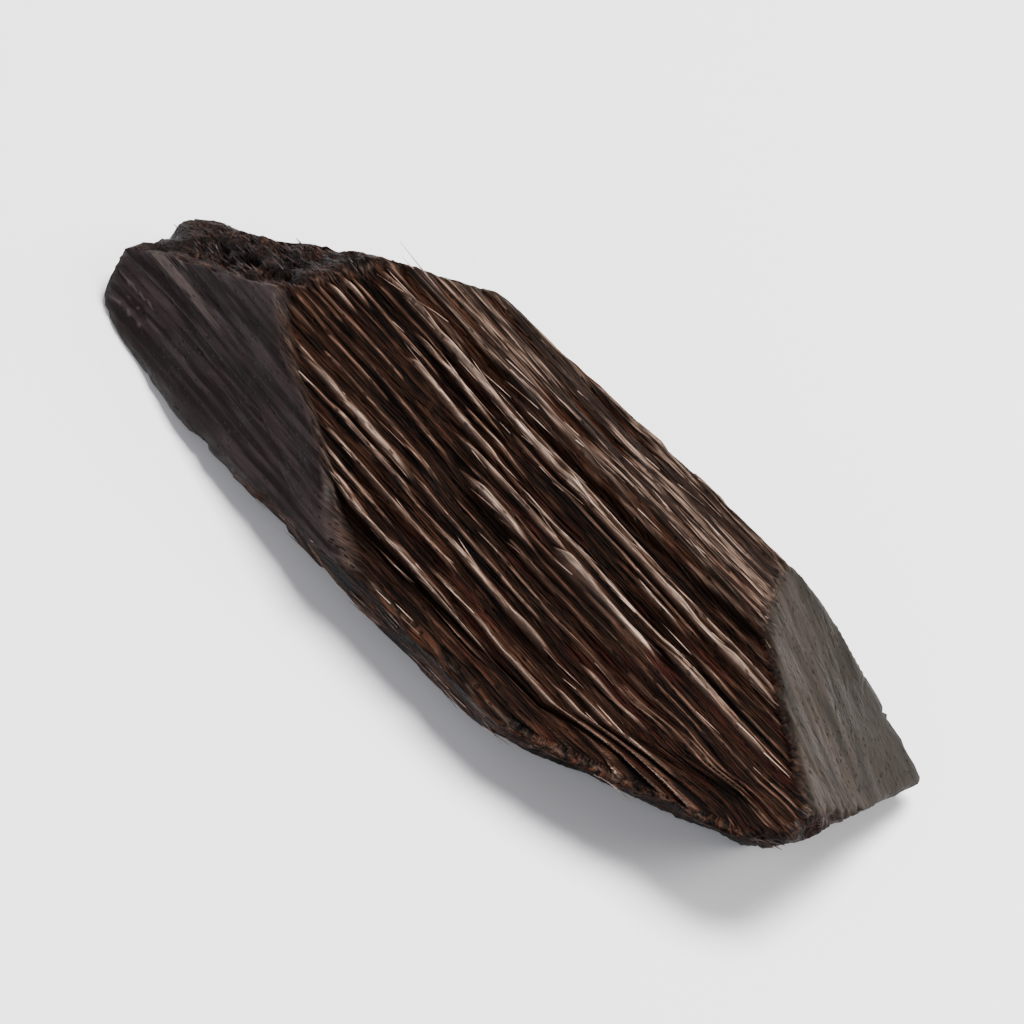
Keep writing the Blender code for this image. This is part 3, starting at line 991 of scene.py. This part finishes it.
def fibre_material(name, dark, pale):
    """Torn fibres, each a little different."""
    material = bpy.data.materials.new(name)
    material.use_nodes = True
    tree = material.node_tree
    shader = tree.nodes["Principled BSDF"]
    spot = node(tree, "ShaderNodeTexNoise")
    feed(tree, spot.inputs["Vector"], node(tree, "ShaderNodeTexCoord").outputs["Object"])
    spot.inputs["Scale"].default_value = 900.0
    tone = blend(tree, spread(tree, spot.outputs["Fac"], 0.40, 0.66), dark, pale)
    feed(tree, shader.inputs["Base Color"], tone)
    feed(tree, shader.inputs["Roughness"], spread(tree, spot.outputs["Fac"], 0.3, 0.7, 0.5, 0.7))
    return material


def floor_material():
    """A pale, dull floor."""
    material = bpy.data.materials.new("pale_floor")
    material.use_nodes = True
    shader = material.node_tree.nodes["Principled BSDF"]
    shader.inputs["Base Color"].default_value = FLOOR_PALE
    shader.inputs["Roughness"].default_value = FLOOR_ROUGHNESS
    return material


# The camera sees the chip's faces as the photograph does, through a long lens at about the same distance,
# so that the chip fills the frame. Lengths from here to the lamps are metres.
VIEW_TURN = math.radians(57.3)
VIEW_HEIGHT = math.radians(40.0)
VIEW_DISTANCE = 0.354
VIEW_WIDTH = 0.0272
VIEW_AIM = (0.0003, 0.0, 0.0022)
SENSOR = 36.0
FLOOR_HALF = 1.2

# Each lamp: name, place, size, power, colour.
LAMPS = [
    ("overhead", (0.05, 0.16, 0.34), 0.20, 4.8, (1.0, 0.985, 0.97)),
    ("rear_right", (0.24, 0.16, 0.16), 0.14, 0.9, (1.0, 0.98, 0.96)),
    ("front_fill", (0.16, -0.26, 0.20), 0.25, 0.5, (0.95, 0.97, 1.0)),
]


def add_camera():
    """The camera at its distance from the aim."""
    back = Vector((
        math.sin(VIEW_TURN) * math.cos(VIEW_HEIGHT),
        -math.cos(VIEW_TURN) * math.cos(VIEW_HEIGHT),
        math.sin(VIEW_HEIGHT),
    ))
    data = bpy.data.cameras.new("camera")
    data.sensor_width = SENSOR
    data.lens = SENSOR * VIEW_DISTANCE / VIEW_WIDTH
    data.clip_start = 0.01
    camera = bpy.data.objects.new("camera", data)
    camera.location = Vector(VIEW_AIM) + back * VIEW_DISTANCE
    camera.rotation_euler = back.to_track_quat("Z", "Y").to_euler()
    bpy.context.scene.collection.objects.link(camera)
    bpy.context.scene.camera = camera


def add_light(name, place, size, power, colour):
    """A square lamp that looks at the origin."""
    data = bpy.data.lights.new(name, "AREA")
    data.size = size
    data.energy = power
    data.color = colour
    lamp = bpy.data.objects.new(name, data)
    lamp.location = place
    lamp.rotation_euler = Vector(place).to_track_quat("Z", "Y").to_euler()
    bpy.context.scene.collection.objects.link(lamp)


def add_floor():
    """The plane that the chip lies on."""
    corners = [(-1, -1), (1, -1), (1, 1), (-1, 1)]
    mesh = bpy.data.meshes.new("floor")
    mesh.from_pydata([(x * FLOOR_HALF, y * FLOOR_HALF, 0) for x, y in corners], [], [(0, 1, 2, 3)])
    floor = bpy.data.objects.new("floor", mesh)
    bpy.context.scene.collection.objects.link(floor)
    mesh.materials.append(floor_material())


def add_studio():
    """Soft light from all around, and the lamps."""
    world = bpy.data.worlds.new("studio")
    bpy.context.scene.world = world
    world.use_nodes = True
    background = world.node_tree.nodes["Background"]
    background.inputs["Color"].default_value = WORLD_PALE
    background.inputs["Strength"].default_value = WORLD_STRENGTH
    for lamp in LAMPS:
        add_light(*lamp)


# Rings of one fibre, in its own units: place along it, radius, lift. Then the lift of its point.
FIBRE_RINGS = [(0.0, 0.7, -1.2), (0.18, 1.0, -0.3), (0.5, 0.85, 0.4), (0.8, 0.5, 1.3)]
FIBRE_TIP_LIFT = 2.4
FIBRE_SIDES = 5


def fibre_shape():
    """One torn fibre along +X, a unit long and about two wide: a closed tube that rises to a point."""
    points, faces = [], []
    for x, radius, lift in FIBRE_RINGS:
        for i in range(FIBRE_SIDES):
            turn = 2 * math.pi * i / FIBRE_SIDES
            points.append((x, radius * math.cos(turn), lift + radius * math.sin(turn)))
    last = len(points) - FIBRE_SIDES
    for a in range(0, last, FIBRE_SIDES):
        b = a + FIBRE_SIDES
        for i in range(FIBRE_SIDES):
            j = (i + 1) % FIBRE_SIDES
            faces.append((a + i, a + j, b + j, b + i))
    points.append((1.0, 0.0, FIBRE_TIP_LIFT))
    faces.append(tuple(reversed(range(FIBRE_SIDES))))
    for i in range(FIBRE_SIDES):
        faces.append((last + i, last + (i + 1) % FIBRE_SIDES, len(points) - 1))
    return bpy.data.objects.new("fibre_shape", outward_mesh("fibre_shape", points, faces))


# The named inputs of the tree that grows the fibres.
FIBRE_INPUTS = [
    ("Wood", "NodeSocketGeometry"),
    ("Fibre", "NodeSocketObject"),
    ("Where", "NodeSocketString"),
    ("Density", "NodeSocketFloat"),
    ("Steepest", "NodeSocketFloat"),
    ("Shortest", "NodeSocketFloat"),
    ("Longest", "NodeSocketFloat"),
    ("Thickness", "NodeSocketFloat"),
    ("Lift", "NodeSocketFloat"),
    ("Either Way", "NodeSocketFloat"),
    ("Seed", "NodeSocketInt"),
    ("Material", "NodeSocketMaterial"),
]


def random_value(tree, low, high, seed, offset):
    """A value of each fibre's own between two limits."""
    made = node(tree, "FunctionNodeRandomValue", data_type="FLOAT")
    feed(tree, made.inputs[2], low)
    feed(tree, made.inputs[3], high)
    feed(tree, made.inputs["Seed"], calc(tree, "ADD", seed, float(offset)))
    return made.outputs[1]


def fibre_spots(tree, given):
    """Points where the attribute is high and the face isn't too steep to the grain."""
    spots = node(tree, "GeometryNodeInputNamedAttribute", data_type="FLOAT")
    feed(tree, spots.inputs["Name"], given["Where"])
    facing = parts(tree, node(tree, "GeometryNodeInputNormal").outputs["Normal"])
    with_grain = calc(tree, "LESS_THAN", calc(tree, "ABSOLUTE", facing[0]), given["Steepest"])
    scatter = node(tree, "GeometryNodeDistributePointsOnFaces", distribute_method="RANDOM")
    feed(tree, scatter.inputs["Mesh"], given["Wood"])
    density = times(tree, spots.outputs["Attribute"], given["Density"], with_grain)
    feed(tree, scatter.inputs["Density"], density)
    feed(tree, scatter.inputs["Seed"], given["Seed"])
    return scatter.outputs


def fibre_turn(tree, given, normal):
    """How each fibre lies: flat on the face, along the grain to the nearer end, and a little lifted."""
    upright = node(tree, "FunctionNodeAlignRotationToVector", axis="Z")
    feed(tree, upright.inputs["Vector"], normal)
    where = parts(tree, node(tree, "GeometryNodeInputPosition").outputs[0])
    either = times(tree, random_value(tree, -1.0, 1.0, given["Seed"], 1), given["Either Way"])
    along = node(tree, "FunctionNodeAlignRotationToVector", axis="X", pivot_axis="Z")
    feed(tree, along.inputs["Rotation"], upright.outputs[0])
    to_end = calc(tree, "SIGN", calc(tree, "ADD", where[0], either))
    feed(tree, along.inputs["Vector"], joined(tree, x=to_end))
    lifted = times(tree, random_value(tree, -1.0, 0.1, given["Seed"], 2), given["Lift"])
    aside = random_value(tree, -0.06, 0.06, given["Seed"], 3)
    euler = node(tree, "FunctionNodeEulerToRotation")
    feed(tree, euler.inputs[0], joined(tree, y=lifted, z=aside))
    turned = node(tree, "FunctionNodeRotateRotation", rotation_space="LOCAL")
    feed(tree, turned.inputs["Rotation"], along.outputs[0])
    feed(tree, turned.inputs["Rotate By"], euler.outputs[0])
    return turned.outputs[0]


def fibre_tree():
    """Geometry nodes: fibres scattered over the wood where an attribute says, lying with the grain."""
    tree = bpy.data.node_groups.new("Raised fibres", "GeometryNodeTree")
    keys = {}
    for title, kind in FIBRE_INPUTS:
        keys[title] = tree.interface.new_socket(title, in_out="INPUT", socket_type=kind).identifier
    tree.interface.new_socket("Fibres", in_out="OUTPUT", socket_type="NodeSocketGeometry")
    given = node(tree, "NodeGroupInput").outputs
    spots = fibre_spots(tree, given)
    long = random_value(tree, given["Shortest"], given["Longest"], given["Seed"], 5)
    thick = times(tree, random_value(tree, 0.6, 1.3, given["Seed"], 4), given["Thickness"])
    shape = node(tree, "GeometryNodeObjectInfo")
    feed(tree, shape.inputs["Object"], given["Fibre"])
    copies = node(tree, "GeometryNodeInstanceOnPoints")
    feed(tree, copies.inputs["Points"], spots["Points"])
    feed(tree, copies.inputs["Instance"], shape.outputs["Geometry"])
    feed(tree, copies.inputs["Rotation"], fibre_turn(tree, given, spots["Normal"]))
    feed(tree, copies.inputs["Scale"], joined(tree, long, thick, thick))
    real = node(tree, "GeometryNodeRealizeInstances")
    feed(tree, real.inputs[0], copies.outputs[0])
    painted = node(tree, "GeometryNodeSetMaterial")
    feed(tree, painted.inputs["Geometry"], real.outputs[0])
    feed(tree, painted.inputs["Material"], given["Material"])
    feed(tree, node(tree, "NodeGroupOutput").inputs[0], painted.outputs[0])
    return tree, keys


def raised_fibres(name, wood, tree, keys, **settings):
    """A plain mesh of fibres grown on the wood by the tree, kept inside the solid's box."""
    made = bpy.data.objects.new(name, wood.data)
    bpy.context.scene.collection.objects.link(made)
    grow = made.modifiers.new("grow", "NODES")
    grow.node_group = tree
    for title, value in settings.items():
        grow[keys[title.replace("_", " ")]] = value
    now = bpy.context.evaluated_depsgraph_get()
    mesh = bpy.data.meshes.new_from_object(made.evaluated_get(now), depsgraph=now)
    made.modifiers.remove(grow)
    made.data = mesh
    mesh.name = name
    points = np.zeros(3 * len(mesh.vertices))
    mesh.vertices.foreach_get("co", points)
    mesh.vertices.foreach_set("co", inside_box(points.reshape(-1, 3)).ravel())
    return made


wood = make_wood()
fibre = fibre_shape()
tree, keys = fibre_tree()
splinters = raised_fibres(
    "raised_fibres", wood, tree, keys, Fibre=fibre, Where="raised", Density=3.2e6, Steepest=0.30,
    Shortest=0.5 * MM, Longest=1.8 * MM, Thickness=0.015 * MM, Lift=0.03, Either_Way=0.03, Seed=11,
    Material=fibre_material("dry_fibre", DRY_BROWN, PALE_FIBRE_AND_HIGHLIGHT),
)
stubs = raised_fibres(
    "torn_ends", wood, tree, keys, Fibre=fibre, Where="torn", Density=6.0e6, Steepest=0.60,
    Shortest=0.2 * MM, Longest=0.7 * MM, Thickness=0.024 * MM, Lift=0.02, Either_Way=0.0, Seed=12,
    Material=fibre_material("torn_fibre", BROKEN_DARK, BROKEN_RED),
)
bpy.data.objects.remove(fibre)
wood.data.materials.append(wood_material())
for piece in (splinters, stubs):
    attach(piece, "root")
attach(wood, "root")
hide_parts("agarwood_piece")
add_floor()
add_studio()
add_camera()
